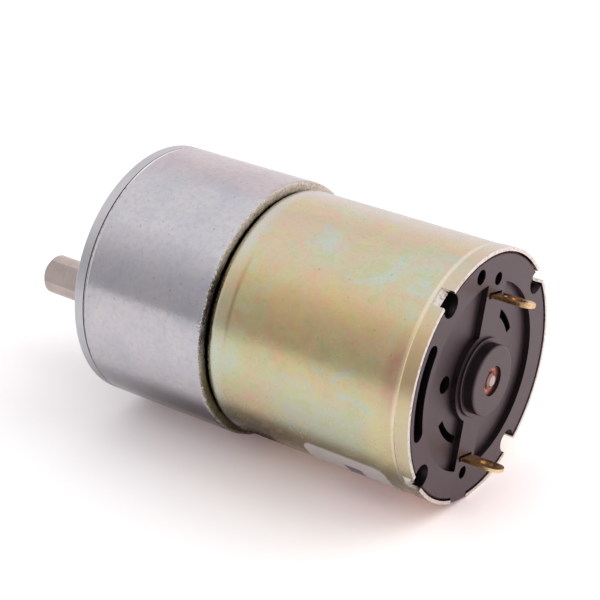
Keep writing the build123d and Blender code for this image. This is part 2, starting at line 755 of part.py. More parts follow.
POLE_DEGS = [index * 360.0 / POLES for index in range(POLES)]
CORE_HUB_R = 3.6
SHOE_HALF_DEG = 31.0
SHOE_THICKNESS = 1.7
INSULATOR_INSET = 0.3
INSULATOR_SLEEVE_R = 2.2
SLEEVE_FRONT_X = -24.8
SLEEVE_REAR_X = -45.6
COIL_FILLET = 0.6
COMMUTATOR_HUB_X = (-51.0, -45.6)
SEGMENT_HALF_DEG = 33.0
RISER_HALF_DEG = 15.0
RISER_LENGTH = 0.7
RISER_HEIGHT = 1.3
ARMATURE_SHAFT_CHAMFER = 0.25
SHAFT_END_GAP = 0.05
PINION_OVERHANG = 0.2
WASHER_R = 2.4
WASHER_FACE_XS = (-24.7, -51.4)
WASHER_THICKNESS = 0.4


def core_face(shoe_r, neck_width):
    """The five-pole outline of one lamination."""
    neck_end = shoe_r - SHOE_THICKNESS / 2
    face = Circle(CORE_HUB_R)
    for degrees in POLE_DEGS:
        neck = Pos(neck_end / 2, 0) * Rectangle(neck_end, neck_width)
        shoe = sector_face(shoe_r - SHOE_THICKNESS, shoe_r, -SHOE_HALF_DEG, SHOE_HALF_DEG)
        face += Rot(Z=degrees) * (neck + shoe)
    return face - Circle(MOTOR_SHAFT_R)


def armature_core():
    face = core_face(CORE_R, NECK_WIDTH)
    return extrude(station(CORE_X[0]) * face, CORE_X[1] - CORE_X[0])


def armature_insulators():
    """Two end plates with sleeves that space the stack on its shaft."""
    face = core_face(CORE_R - INSULATOR_INSET, NECK_WIDTH)
    front = extrude(station(CORE_X[1]) * face, INSULATOR)
    front += tube(CORE_X[1], SLEEVE_FRONT_X, INSULATOR_SLEEVE_R, MOTOR_SHAFT_R)
    rear = extrude(station(CORE_X[0] - INSULATOR) * face, INSULATOR)
    rear += tube(SLEEVE_REAR_X, CORE_X[0], INSULATOR_SLEEVE_R, MOTOR_SHAFT_R)
    return Compound([front, rear])


def armature_windings():
    low_x = CORE_X[0] - INSULATOR - COIL_END
    high_x = CORE_X[1] + INSULATOR + COIL_END
    inner, outer = COIL_R
    narrow, wide = COIL_HALF_WIDTH
    outline = Polyline((inner, -narrow), (outer, -wide), (outer, wide), (inner, narrow), close=True)
    coil = extrude(station(low_x) * make_face(outline), high_x - low_x)
    coil = fillet(coil.edges().filter_by(Axis.X), COIL_FILLET)
    coil &= disc(low_x, high_x, COIL_LIMIT_R)
    window_x = (CORE_X[0] - INSULATOR, CORE_X[1] + INSULATOR)
    coil -= block(window_x, (0, PAST_SIDE), (-NECK_WIDTH / 2, NECK_WIDTH / 2))
    return Compound([about_x(degrees) * coil for degrees in POLE_DEGS])


def commutator_hub():
    return tube(*COMMUTATOR_HUB_X, COMMUTATOR_HUB_R, MOTOR_SHAFT_R)


def commutator_segments():
    riser_x = (COMMUTATOR_X[1], COMMUTATOR_X[1] + RISER_LENGTH)
    riser_r = COMMUTATOR_R + RISER_HEIGHT
    bar = sector(*COMMUTATOR_X, COMMUTATOR_HUB_R, COMMUTATOR_R, -SEGMENT_HALF_DEG, SEGMENT_HALF_DEG)
    bar += sector(*riser_x, COMMUTATOR_HUB_R, riser_r, -RISER_HALF_DEG, RISER_HALF_DEG)
    between_poles = 180.0 / POLES
    return Compound([about_x(degrees + between_poles) * bar for degrees in POLE_DEGS])


def armature_shaft():
    rear_x = behind_rim(CAP_BOSS_H - SHAFT_END_GAP)
    shaft = disc(rear_x, MOTOR_PINION_X[1] + PINION_OVERHANG, MOTOR_SHAFT_R)
    return chamfer(shaft.edges().filter_by(GeomType.CIRCLE), ARMATURE_SHAFT_CHAMFER)


def motor_pinion():
    tooth_deg = bearing(MOTOR_AXIS, FIRST_PIN)
    return gear(PINION_TEETH, MODULE_1, MOTOR_PINION_X, MOTOR_AXIS, tooth_deg, MOTOR_SHAFT_R)


def thrust_washers():
    washers = [tube(x, x + WASHER_THICKNESS, WASHER_R, MOTOR_SHAFT_R) for x in WASHER_FACE_XS]
    return Compound(washers)


# ---------------------------------------------------------------- gear clusters


def cluster_wheel(module, x_range, centre, driver):
    """A wheel with a hub that reaches back to the rear plate."""
    tooth_deg = bearing(centre, driver) + half_tooth(WHEEL_TEETH)
    wheel = gear(WHEEL_TEETH, module, x_range, centre, tooth_deg, PIN_R + RUNNING_GAP)
    return wheel + tube(HUB_END_X, x_range[0], HUB_R, PIN_R + RUNNING_GAP, centre)


def cluster_pinion(module, x_range, centre, driven):
    tooth_deg = bearing(centre, driven)
    return gear(PINION_TEETH, module, x_range, centre, tooth_deg, PIN_R + RUNNING_GAP)


# ---------------------------------------------------------------- output

RING_X = (OUTPUT_GEAR_X[0] - 0.55, OUTPUT_GEAR_X[0] - 0.05)
RING_GROOVE_R = 2.6
RING_OUTER_R = 4.4
RING_GAP_HALF_DEG = 25.0
RING_LAND = 0.4
JOURNAL_END_GAP = 0.2
OUTPUT_WASHER_R = 5.0
OUTPUT_WASHER_X = (-4.15, -3.65)


def output_shaft():
    rear_x = RING_X[0] - RING_LAND
    shaft = disc(rear_x, OUTPUT_TIP_X, OUTPUT_R, OUTPUT_AXIS)
    shaft = chamfer(shaft.edges().group_by(Axis.X)[-1], TIP_CHAMFER)
    shaft += disc(PIN_REAR_X + JOURNAL_END_GAP, rear_x, OUTPUT_JOURNAL_R, OUTPUT_AXIS)
    shaft -= tube(*RING_X, OUTPUT_R + CUT_MARGIN, RING_GROOVE_R, OUTPUT_AXIS)
    relief_x = (BOSS_LENGTH - RELIEF_WIDTH, BOSS_LENGTH)
    shaft -= tube(*relief_x, OUTPUT_R + CUT_MARGIN, OUTPUT_R - RELIEF_DEPTH, OUTPUT_AXIS)
    flat_x = (OUTPUT_TIP_X - FLAT_LENGTH, OUTPUT_TIP_X + CUT_MARGIN)
    flat_y = (OUTPUT_R - FLAT_DEPTH, OUTPUT_R + CUT_MARGIN)
    flat = block(flat_x, flat_y, (-OUTPUT_R, OUTPUT_R))
    return shaft - Pos(0, *OUTPUT_AXIS) * about_x(FLAT_DEG) * flat


def output_gear():
    tooth_deg = bearing(OUTPUT_AXIS, SECOND_PIN) + half_tooth(OUTPUT_TEETH)
    return gear(OUTPUT_TEETH, MODULE_3, OUTPUT_GEAR_X, OUTPUT_AXIS, tooth_deg, OUTPUT_R)


def output_retaining_ring():
    """A snap ring with a gap, sitting in the shaft's groove behind the gear."""
    face = sector_face(RING_GROOVE_R, RING_OUTER_R, RING_GAP_HALF_DEG, 360.0 - RING_GAP_HALF_DEG)
    return extrude(station(RING_X[0], OUTPUT_AXIS) * face, RING_X[1] - RING_X[0])


def output_washer():
    return tube(*OUTPUT_WASHER_X, OUTPUT_WASHER_R, OUTPUT_R, OUTPUT_AXIS)


# ---------------------------------------------------------------- write every piece

NODES = {
    "gearbox_front_plate": gearbox_front_plate(),
    "gearbox_shroud": gearbox_shroud(),
    "gearbox_rear_plate": gearbox_rear_plate(),
    "spacer_posts": spacer_posts(),
    "front_plate_screws": front_plate_screws(),
    "first_gear_pin": gear_pin(FIRST_PIN),
    "second_gear_pin": gear_pin(SECOND_PIN),
    "first_gear_spacer": first_gear_spacer(),
    "output_front_bushing": output_front_bushing(),
    "output_rear_bushing": output_rear_bushing(),
    "motor_screws": motor_screws(),
    "motor_can": motor_can(),
    "can_label": can_label(),
    "front_motor_bushing": front_motor_bushing(),
    "magnets": magnets(),
    "magnet_clips": magnet_clips(),
    "end_cap": end_cap(),
    "rear_motor_bushing": rear_motor_bushing(),
    "terminals": on_brush_axis(terminal()),
    "brush_holders": on_brush_axis(brush_holder()),
    "brushes": on_brush_axis(brush()),
    "brush_springs": on_brush_axis(brush_spring()),
    "armature_shaft": armature_shaft(),
    "armature_core": armature_core(),
    "armature_insulators": armature_insulators(),
    "armature_windings": armature_windings(),
    "commutator_hub": commutator_hub(),
    "commutator_segments": commutator_segments(),
    "motor_pinion": motor_pinion(),
    "thrust_washers": thrust_washers(),
    "first_cluster_wheel": cluster_wheel(MODULE_1, WHEEL_1_X, FIRST_PIN, MOTOR_AXIS),
    "first_cluster_pinion": cluster_pinion(MODULE_2, PINION_1_X, FIRST_PIN, SECOND_PIN),
    "second_cluster_wheel": cluster_wheel(MODULE_2, WHEEL_2_X, SECOND_PIN, FIRST_PIN),
    "second_cluster_pinion": cluster_pinion(MODULE_3, PINION_2_X, SECOND_PIN, OUTPUT_AXIS),
    "output_shaft": output_shaft(),
    "output_gear": output_gear(),
    "output_retaining_ring": output_retaining_ring(),
    "output_washer": output_washer(),
}

os.makedirs("parts", exist_ok=True)
for name, shape in NODES.items():
    export_step(shape, f"parts/{name}.step")
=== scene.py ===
import json
import math

import bpy
from mathutils import Matrix, Vector, noise


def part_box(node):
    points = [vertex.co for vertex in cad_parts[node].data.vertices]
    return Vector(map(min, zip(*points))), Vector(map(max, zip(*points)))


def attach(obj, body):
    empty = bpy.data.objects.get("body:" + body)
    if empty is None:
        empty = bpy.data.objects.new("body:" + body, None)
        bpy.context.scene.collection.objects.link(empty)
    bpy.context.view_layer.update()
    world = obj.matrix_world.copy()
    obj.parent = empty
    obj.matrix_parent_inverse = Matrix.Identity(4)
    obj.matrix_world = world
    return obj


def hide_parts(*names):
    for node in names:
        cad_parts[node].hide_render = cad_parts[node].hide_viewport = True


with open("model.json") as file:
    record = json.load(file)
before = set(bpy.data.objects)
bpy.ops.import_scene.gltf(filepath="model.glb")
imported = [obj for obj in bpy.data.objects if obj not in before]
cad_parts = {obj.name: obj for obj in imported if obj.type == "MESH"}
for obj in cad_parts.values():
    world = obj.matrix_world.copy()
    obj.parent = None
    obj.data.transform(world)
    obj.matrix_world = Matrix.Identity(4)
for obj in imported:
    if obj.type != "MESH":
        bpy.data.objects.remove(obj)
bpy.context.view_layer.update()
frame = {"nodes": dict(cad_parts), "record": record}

MM = 0.001
NODES = frame["nodes"]

# ------------------------------------------------------------------ sizes, from the frame where it has them


def radius_about_x(node):
    """Half the width along Y of a node that is round about the X axis."""
    low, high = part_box(node)
    return (high.y - low.y) / 2


SHROUD_LOW, SHROUD_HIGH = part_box("gearbox_shroud")
SHROUD_FRONT_X = SHROUD_HIGH.x
SHROUD_REAR_X = SHROUD_LOW.x
SHROUD_R = radius_about_x("gearbox_shroud")
SHROUD_WALL = 1.0 * MM
SHROUD_LIP_R = 16.95 * MM
REAR_PLATE_REAR_X = -21.5 * MM
CAN_REAR_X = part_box("motor_can")[0].x
CAN_BAND_R = radius_about_x("motor_can")

# ------------------------------------------------------------------ shader building

NOISE_RANGE = (0.3, 0.7)            # where nearly all of a noise texture's values lie
SIDE_WALL_NORMAL = (0.45, 0.75)     # X of the normal, from side wall to face
PIT_NOISE = (1, 0.4)                # detail and roughness
PIT_EDGE = 0.05


class Nodes:
    """Short ways to add nodes to the tree of a material or of the world."""

    def __init__(self, tree):
        self.tree = tree

    def new(self, kind):
        return self.tree.nodes.new("ShaderNode" + kind)

    def link(self, source, target):
        self.tree.links.new(source, target)

    def put(self, value, socket):
        """Links a socket, or sets a plain number or colour."""
        if isinstance(value, bpy.types.NodeSocket):
            self.link(value, socket)
        else:
            socket.default_value = value

    def separate(self, vector):
        node = self.new("SeparateXYZ")
        self.link(vector, node.inputs[0])
        return node.outputs["X"], node.outputs["Y"], node.outputs["Z"]

    def math(self, operation, first, second=0.0):
        node = self.new("Math")
        node.operation = operation
        self.put(first, node.inputs[0])
        self.put(second, node.inputs[1])
        return node.outputs[0]

    def times(self, first, second):
        return self.math("MULTIPLY", first, second)

    def map(self, value, from_low, from_high, to_low, to_high, interpolation="LINEAR"):
        node = self.new("MapRange")
        node.interpolation_type = interpolation
        self.put(value, node.inputs["Value"])
        node.inputs["From Min"].default_value = from_low
        node.inputs["From Max"].default_value = from_high
        node.inputs["To Min"].default_value = to_low
        node.inputs["To Max"].default_value = to_high
        return node.outputs["Result"]

    def spread(self, texture, low, high):
        """A noise texture's usual range, spread from low to high."""
        return self.map(texture, *NOISE_RANGE, low, high)

    def between(self, value, low, high, soft):
        """1 between two limits and 0 outside them, with soft edges."""
        above = self.map(value, low - soft, low + soft, 0.0, 1.0)
        below = self.map(value, high - soft, high + soft, 1.0, 0.0)
        return self.times(above, below)

    def ramp(self, factor, stops, interpolation="LINEAR"):
        """Colours along a factor. A stop is (place, colour) or (place, grey)."""
        node = self.new("ValToRGB")
        self.link(factor, node.inputs["Fac"])
        ramp = node.color_ramp
        ramp.interpolation = interpolation
        while len(ramp.elements) < len(stops):
            ramp.elements.new(0.5)
        for element, (place, color) in zip(ramp.elements, stops):
            element.position = place
            element.color = (*color, 1) if isinstance(color, tuple) else (color, color, color, 1)
        return node.outputs["Color"]

    def mix(self, factor, first, second, blend="MIX"):
        node = self.new("Mix")
        node.data_type = "RGBA"
        node.blend_type = blend
        self.put(factor, node.inputs["Factor"])
        for value, socket in ((first, node.inputs["A"]), (second, node.inputs["B"])):
            self.put((*value, 1) if isinstance(value, tuple) else value, socket)
        return node.outputs["Result"]


class Shader(Nodes):
    """A principled material. Its positions are the piece's own, in mm."""

    def __init__(self, name, metallic=0.0, roughness=0.5, color=(0.8, 0.8, 0.8)):
        self.material = bpy.data.materials.new(name)
        self.material.use_nodes = True
        super().__init__(self.material.node_tree)
        self.bsdf = self.tree.nodes["Principled BSDF"]
        self.bsdf.inputs["Metallic"].default_value = metallic
        self.bsdf.inputs["Roughness"].default_value = roughness
        self.bsdf.inputs["Base Color"].default_value = (*color, 1)
        scale = self.new("VectorMath")
        scale.operation = "SCALE"
        scale.inputs["Scale"].default_value = 1 / MM
        self.link(self.new("TexCoord").outputs["Object"], scale.inputs[0])
        self.position = scale.outputs[0]

    def stretched(self, x, y, z):
        """The position, scaled axis by axis."""
        node = self.new("VectorMath")
        node.operation = "MULTIPLY"
        self.link(self.position, node.inputs[0])
        node.inputs[1].default_value = (x, y, z)
        return node.outputs[0]

    def noise(self, per_mm, detail=3.0, roughness=0.5, distortion=0.0, vector=None):
        node = self.new("TexNoise")
        self.link(vector or self.position, node.inputs["Vector"])
        node.inputs["Scale"].default_value = per_mm
        node.inputs["Detail"].default_value = detail
        node.inputs["Roughness"].default_value = roughness
        node.inputs["Distortion"].default_value = distortion
        return node.outputs["Fac"]

    def pits(self, per_mm, size):
        """1 in small round pits, 0 around them."""
        stops = [(0.0, 1.0), (size, 1.0), (size + PIT_EDGE, 0.0), (1.0, 0.0)]
        return self.ramp(self.noise(per_mm, *PIT_NOISE), stops)

    def place(self):
        """X, Y and Z of the position."""
        return self.separate(self.position)

    def axis_radius(self):
        """Distance from the motor's axis."""
        _, y, z = self.place()
        return self.math("SQRT", self.math("ADD", self.times(y, y), self.times(z, z)))

    def axis_turn(self):
        """Angle round the motor's axis in degrees, from +Y towards +Z."""
        _, y, z = self.place()
        return self.math("DEGREES", self.math("ARCTAN2", z, y))

    def patch(self, along, along_soft, around, around_soft):
        """1 inside a stretch of X and of turn round the axis, 0 outside it, with soft edges."""
        x, _, _ = self.place()
        stretch = self.between(x, *along, along_soft)
        return self.times(stretch, self.between(self.axis_turn(), *around, around_soft))

    def side_wall(self):
        """1 on walls that run along the motor's axis, 0 on faces square to it."""
        x, _, _ = self.separate(self.new("TexCoord").outputs["Normal"])
        return self.map(self.math("ABSOLUTE", x), *SIDE_WALL_NORMAL, 1.0, 0.0)

    def color(self, value):
        self.put(value, self.bsdf.inputs["Base Color"])

    def roughness(self, value):
        self.put(value, self.bsdf.inputs["Roughness"])

    def metallic(self, value):
        self.put(value, self.bsdf.inputs["Metallic"])

    def bump(self, height, distance_mm):
        """Adds a bump on top of those that the material has so far."""
        node = self.new("Bump")
        node.inputs["Strength"].default_value = 1.0
        node.inputs["Distance"].default_value = distance_mm * MM
        self.link(height, node.inputs["Height"])
        normal = self.bsdf.inputs["Normal"]
        if normal.is_linked:
            self.link(normal.links[0].from_socket, node.inputs["Normal"])
        self.link(node.outputs["Normal"], normal)


# ------------------------------------------------------------------ places of the painted marks

# X is in mm along the motor's axis, 0 at the gearbox's face and negative towards the end cap.
# R is the distance from that axis in mm, and a turn is in degrees round it, from +Y towards +Z.
# A mark with two soft sides lies between its pair's values, and a one-sided mark sets in from
# the first to the second.

SLEEVE_FRONT_X = SHROUD_FRONT_X / MM
SLEEVE_ROSY_REFLECTION_TURN = (82.0, 140.0)
SLEEVE_EDGE_HIGHLIGHT_X = (SLEEVE_FRONT_X - 0.42, SLEEVE_FRONT_X - 0.32)
SLEEVE_EDGE_HIGHLIGHT_TURN = (66.0, 150.0)

TORN_OLIVE_TURN = (8.0, -12.0)
TORN_DARK_REFLECTION_TURN = (2.0, 42.0)
TORN_BURR_R = (18.15, 18.40)
TORN_RIM_R = (18.0, 18.2)
TORN_LIP_SHADOW_R = (17.35, 17.05)
TORN_LIP_SHADOW_TURN = (50.0, 78.0)        # the lip's shadow fades here
TORN_RAGGED_R = (17.6, 17.8)
TORN_RAGGED_TURN = (2.0, 20.0)

CAN_NOSE_REFLECTION_X = (-25.6, -24.6)
CAN_BEND_REFLECTION_X, CAN_BEND_REFLECTION_TURN = (-26.1, -25.6), (16.0, 46.0)
CAN_BAND_X = (-52.9, -53.2)
CAN_SHOULDER_HIGHLIGHT_X = (-53.0, -52.4)
CAN_PALE_X, CAN_PALE_TURN = (-49.0, -34.0), (-24.0, 1.0)
CAN_YELLOW_X, CAN_YELLOW_TURN = (-52.0, -48.5), (-30.0, 4.0)
CAN_BLUSH_X, CAN_BLUSH_TURN = (-52.4, -50.6), (10.0, 36.0)
CAN_WARM_TURN = (14.0, 50.0)
CAN_GREENISH_TURN = (-32.0, 14.0)
CAN_TOP_SHEEN_TURN = (98.0, 140.0)
CAN_RIM_X = (-54.93, -54.99)
CAN_NOTCH_X, CAN_NOTCH_R = (-52.95, -53.05), (17.50, 17.46)

CAP_KEY_TURN = (-82.0, -68.0)
CAP_SHADE_RING_R = (16.70, 16.80)
GROOVE_SHADE_R, GROOVE_SHADE_X = (14.0, 14.6), (-21.3, -21.5)
TAB_ROOT_X = (-59.6, -58.4)
SHAFT_TIP_X, SHAFT_TIP_EDGE_R = (-55.5, -56.0), (0.70, 1.05)
SHEET_THICKNESS, SHEET_GAP = 0.5, 0.06

LABEL_BARS = [                      # stretch of X, stretch of turn
    ((-45.6, -42.9), (-46.0, -38.0)),
    ((-48.4, -38.6), (-66.0, -57.0)),
    ((-48.4, -41.5), (-82.0, -76.0)),
]

# ------------------------------------------------------------------ materials


def plated_sleeve():
    """Dull nickel on turned steel: mottled and pitted, with faint rings, a painted rosy reflection along
    the top and a painted highlight on the front edge's upper side.
    """
    s = Shader("plated_sleeve", metallic=1.0)
    cloud = s.noise(0.16, 4, 0.55, 0.6)
    mottle = s.noise(1.3, 5, 0.65)
    grain = s.noise(7.0, 3, 0.65)
    rings = s.noise(1.0, 2, 0.5, vector=s.stretched(7.0, 0.25, 0.25))
    base = s.ramp(cloud, [
        (0.32, (0.575, 0.575, 0.62)),
        (0.50, (0.63, 0.615, 0.64)),
        (0.70, (0.67, 0.64, 0.65)),
    ])
    base = s.mix(s.map(mottle, 0.45, 0.72, 0.0, 0.42), base, (0.43, 0.43, 0.46))
    base = s.mix(s.map(grain, 0.55, 0.75, 0.0, 0.20), base, (0.38, 0.37, 0.39))
    base = s.mix(s.pits(3.1, 0.21), base, (0.20, 0.19, 0.19))
    x, _, _ = s.place()
    turn = s.axis_turn()
    # Painted reflection: the top of the sleeve is tinted rosy, as the pink tent above shows in it.
    base = s.mix(s.between(turn, *SLEEVE_ROSY_REFLECTION_TURN, 3.0), base, (0.97, 0.90, 0.90), "MULTIPLY")
    # Painted highlight: the front edge is paler on its upper side only, where light catches it.
    edge = s.map(x, *SLEEVE_EDGE_HIGHLIGHT_X, 0.0, 0.9)
    edge_highlight = s.times(edge, s.between(turn, *SLEEVE_EDGE_HIGHLIGHT_TURN, 8.0))
    s.color(s.mix(edge_highlight, base, (0.98, 0.96, 0.96)))
    rough = s.map(mottle, 0.3, 0.75, 0.11, 0.22)
    s.roughness(s.math("ADD", rough, s.map(rings, 0.4, 0.7, 0.0, 0.05)))
    s.bump(s.math("ADD", s.times(mottle, 0.7), s.times(grain, 0.3)), 0.005)
    s.bump(rings, 0.0015)
    return s.material


def torn_edge():
    """Bare steel where the sleeve was parted off: dark tears and burrs, olive and darker towards the
    bottom, a painted dark reflection on the side towards +Y and a painted shadow where the tear meets the
    lip.

    The brightest chips are not metallic, so that they stay pale in the shade."""
    s = Shader("torn_edge", metallic=1.0)
    tear = s.noise(3.0, 5, 0.7, 0.8)
    fine = s.noise(9.0, 3, 0.65)
    radius = s.axis_radius()
    turn = s.axis_turn()
    metal = s.ramp(tear, [
        (0.30, (0.26, 0.21, 0.16)),
        (0.46, (0.66, 0.58, 0.48)),
        (0.70, (0.90, 0.83, 0.75)),
    ])
    olive = s.ramp(tear, [
        (0.30, (0.13, 0.11, 0.06)),
        (0.50, (0.27, 0.23, 0.14)),
        (0.75, (0.40, 0.35, 0.24)),
    ])
    metal = s.mix(s.map(turn, *TORN_OLIVE_TURN, 0.0, 1.0), metal, olive)
    # Painted dark reflection: a patchy, nearly black band on the side towards +Y.
    dark_reflection = s.times(s.between(turn, *TORN_DARK_REFLECTION_TURN, 7.0), s.map(fine, 0.54, 0.62, 1.0, 0.2))
    metal = s.mix(dark_reflection, metal, (0.022, 0.016, 0.017))
    burr = s.times(s.map(radius, *TORN_BURR_R, 0.0, 1.0), s.map(fine, 0.50, 0.56, 0.0, 0.9))
    metal = s.mix(burr, metal, (0.92, 0.87, 0.82))
    # Painted shadow: near black along the inner edge where the tear meets the lip, fading towards the top.
    lip = s.times(s.map(radius, *TORN_LIP_SHADOW_R, 0.0, 0.95), s.map(turn, *TORN_LIP_SHADOW_TURN, 1.0, 0.15))
    metal = s.mix(lip, metal, (0.03, 0.022, 0.02))
    rim = s.map(radius, *TORN_RIM_R, 0.0, 1.0)
    ragged = s.times(s.between(turn, *TORN_RAGGED_TURN, 5.0), s.map(radius, *TORN_RAGGED_R, 0.0, 0.6))
    specks = s.map(s.noise(4.6, 2, 0.6), 0.58, 0.63, 0.0, 0.85)
    chip = s.times(s.math("MAXIMUM", rim, ragged), specks)
    s.color(s.mix(chip, metal, (0.86, 0.80, 0.76)))
    s.metallic(s.math("SUBTRACT", 1.0, chip))
    s.roughness(s.spread(fine, 0.25, 0.50))
    s.bump(tear, 0.16)
    s.bump(fine, 0.04)
    return s.material


def zinc_casting():
    """Die-cast zinc: fine grain with a slightly cloudy sheen."""
    s = Shader("zinc_casting", metallic=1.0)
    cloud = s.noise(0.35, 4, 0.6)
    grain = s.noise(6.0, 3, 0.7)
    s.color(s.ramp(cloud, [(0.3, (0.56, 0.565, 0.59)), (0.7, (0.63, 0.625, 0.64))]))
    s.roughness(s.spread(grain, 0.26, 0.42))
    s.bump(grain, 0.006)
    return s.material


def chromate_can():
    """Yellow chromate on zinc plate: soft iridescent clouds, olive to pink, with pinholes."""
    s = Shader("chromate_can", metallic=1.0)
    film = s.noise(0.075, 4, 0.50, 0.7, vector=s.stretched(1.0, 0.75, 0.75))
    streak = s.noise(0.22, 4, 0.60, 1.0, vector=s.stretched(0.8, 1.2, -1.2))
    speckle = s.noise(1.5, 4, 0.65)
    fleck = s.noise(0.50, 3, 0.60, 0.9, vector=s.stretched(0.8, 1.0, 1.0))
    thickness = s.math("ADD", film, s.times(s.math("SUBTRACT", streak, 0.5), 0.35))
    base = s.ramp(thickness, [
        (0.26, (0.63, 0.69, 0.58)),
        (0.33, (0.71, 0.69, 0.43)),
        (0.41, (0.75, 0.65, 0.41)),
        (0.47, (0.74, 0.60, 0.46)),
        (0.52, (0.72, 0.64, 0.46)),
        (0.58, (0.68, 0.67, 0.44)),
        (0.65, (0.64, 0.70, 0.58)),
        (0.72, (0.66, 0.69, 0.62)),
        (0.80, (0.76, 0.60, 0.46)),
    ], "B_SPLINE")
    base = s.mix(s.map(streak, 0.57, 0.70, 0.0, 0.70), base, (0.60, 0.67, 0.69))
    base = s.mix(s.map(streak, 0.41, 0.29, 0.0, 0.65), base, (0.82, 0.54, 0.40))
    base = s.mix(s.map(fleck, 0.52, 0.66, 0.0, 0.55), base, (0.80, 0.55, 0.44))
    base = s.mix(s.map(fleck, 0.46, 0.33, 0.0, 0.50), base, (0.58, 0.64, 0.37))
    base = s.mix(s.map(speckle, 0.52, 0.75, 0.0, 0.35), base, (0.55, 0.50, 0.30))
    base = s.mix(s.times(s.pits(2.4, 0.19), 0.7), base, (0.20, 0.14, 0.09))

    x, _, _ = s.place()
    turn = s.axis_turn()
    # Painted reflection: the front bend is paler and bluish, as the bright fillet looks.
    base = s.mix(s.map(x, *CAN_NOSE_REFLECTION_X, 0.0, 0.6), base, (0.68, 0.72, 0.69))
    # Painted reflection: a dark line just behind the front bend, on the side towards +Y.
    bend_reflection = s.times(s.patch(CAN_BEND_REFLECTION_X, 0.2, CAN_BEND_REFLECTION_TURN, 8.0), s.map(streak, 0.35, 0.65, 0.4, 0.8))
    base = s.mix(bend_reflection, base, (0.38, 0.26, 0.24))
    base = s.mix(s.map(x, *CAN_BAND_X, 0.0, 0.40), base, (0.72, 0.63, 0.52))
    # Painted highlight: a pale line along the can's shoulder by its rear band.
    shoulder_highlight = s.times(s.between(x, *CAN_SHOULDER_HIGHLIGHT_X, 0.15), 0.7)
    base = s.mix(shoulder_highlight, base, (0.95, 0.88, 0.76))
    pale = s.times(s.patch(CAN_PALE_X, 3.0, CAN_PALE_TURN, 5.0), s.map(fleck, 0.35, 0.60, 0.3, 0.75))
    base = s.mix(pale, base, (0.61, 0.71, 0.65))
    yellow = s.times(s.patch(CAN_YELLOW_X, 1.0, CAN_YELLOW_TURN, 6.0), 0.5)
    base = s.mix(yellow, base, (0.82, 0.72, 0.42))
    blush = s.times(s.patch(CAN_BLUSH_X, 0.5, CAN_BLUSH_TURN, 7.0), s.map(fleck, 0.3, 0.6, 0.3, 0.8))
    base = s.mix(blush, base, (0.66, 0.40, 0.38))

    base = s.mix(1.0, base, (0.95, 0.95, 0.94), "MULTIPLY")
    base = s.mix(s.between(turn, *CAN_WARM_TURN, 8.0), base, (1.02, 0.90, 0.68), "MULTIPLY")
    base = s.mix(s.between(turn, *CAN_GREENISH_TURN, 8.0), base, (0.99, 1.0, 0.90), "MULTIPLY")
    # Painted sheen: the top of the can is paler and greyer, as its grazing reflection looks.
    base = s.mix(s.times(s.between(turn, *CAN_TOP_SHEEN_TURN, 8.0), 0.6), base, (0.72, 0.68, 0.67))

    rim = s.map(x, *CAN_RIM_X, 0.0, 1.0)
    notch = s.times(s.map(s.axis_radius(), *CAN_NOTCH_R, 0.0, 1.0), s.map(x, *CAN_NOTCH_X, 0.0, 1.0))
    bare = s.math("MAXIMUM", rim, notch)
    bare_metal = s.ramp(s.noise(2.2, 4, 0.7), [
        (0.34, (0.34, 0.30, 0.27)),
        (0.46, (0.80, 0.74, 0.69)),
        (0.70, (0.90, 0.87, 0.84)),
    ])
    s.color(s.mix(bare, base, bare_metal))
    grain = s.noise(7.0, 3, 0.6)
    rough = s.spread(s.noise(0.5, 3, 0.5), 0.20, 0.30)
    s.roughness(s.mix(bare, rough, s.spread(grain, 0.18, 0.40)))
    s.bump(grain, 0.003)
    s.bump(s.noise(0.9, 2, 0.5), 0.006)
    return s.material


def cap_plastic():
    """Black filled nylon with a fine spark-eroded skin; its side walls and outer ring carry painted shade,
    dull and nearly unreflecting.
    """
    s = Shader("cap_plastic")
    cloud = s.noise(0.35, 4, 0.6)
    grain = s.noise(12.0, 2, 0.7)
    off_key = s.math("SUBTRACT", 1.0, s.between(s.axis_turn(), *CAP_KEY_TURN, 0.2))
    # Painted shade: the side walls and the outer ring beside the can's rim are made dull and nearly
    # unreflecting.
    ring = s.times(s.map(s.axis_radius(), *CAP_SHADE_RING_R, 0.0, 1.0), off_key)
    dull = s.math("MAXIMUM", s.side_wall(), ring)
    skin = s.ramp(cloud, [(0.3, (0.009, 0.005, 0.006)), (0.7, (0.016, 0.009, 0.011))])
    s.color(s.mix(dull, skin, (0.052, 0.042, 0.045)))
    s.metallic(dull)
    s.roughness(s.spread(grain, 0.36, 0.50))
    s.put(s.map(dull, 0.0, 1.0, 0.22, 0.0), s.bsdf.inputs["Coat Weight"])
    s.bsdf.inputs["Specular IOR Level"].default_value = 1.0
    s.bsdf.inputs["Specular Tint"].default_value = (1.0, 0.80, 0.88, 1.0)
    s.bsdf.inputs["Coat Roughness"].default_value = 0.45
    s.bsdf.inputs["Coat Tint"].default_value = (1.0, 0.90, 0.95, 1.0)
    s.bump(grain, 0.008)
    return s.material


def plated_plate():
    """Zinc plated plate, with near-black painted shade in the groove in front of the motor's can."""
    s = Shader("plated_plate", metallic=1.0)
    cloud = s.noise(0.5, 3, 0.5)
    grain = s.noise(5.0, 3, 0.6)
    steel = s.mix(s.map(cloud, 0.4, 0.7, 0.0, 0.6), (0.62, 0.60, 0.52), (0.50, 0.48, 0.42))
    x, _, _ = s.place()
    # Painted shade in the narrow gap between the plate and the motor's can.
    groove_shade = s.times(s.map(s.axis_radius(), *GROOVE_SHADE_R, 0.0, 1.0), s.map(x, *GROOVE_SHADE_X, 0.0, 1.0))
    s.color(s.mix(groove_shade, steel, (0.015, 0.012, 0.012)))
    s.roughness(s.spread(grain, 0.25, 0.40))
    s.bump(grain, 0.004)
    return s.material


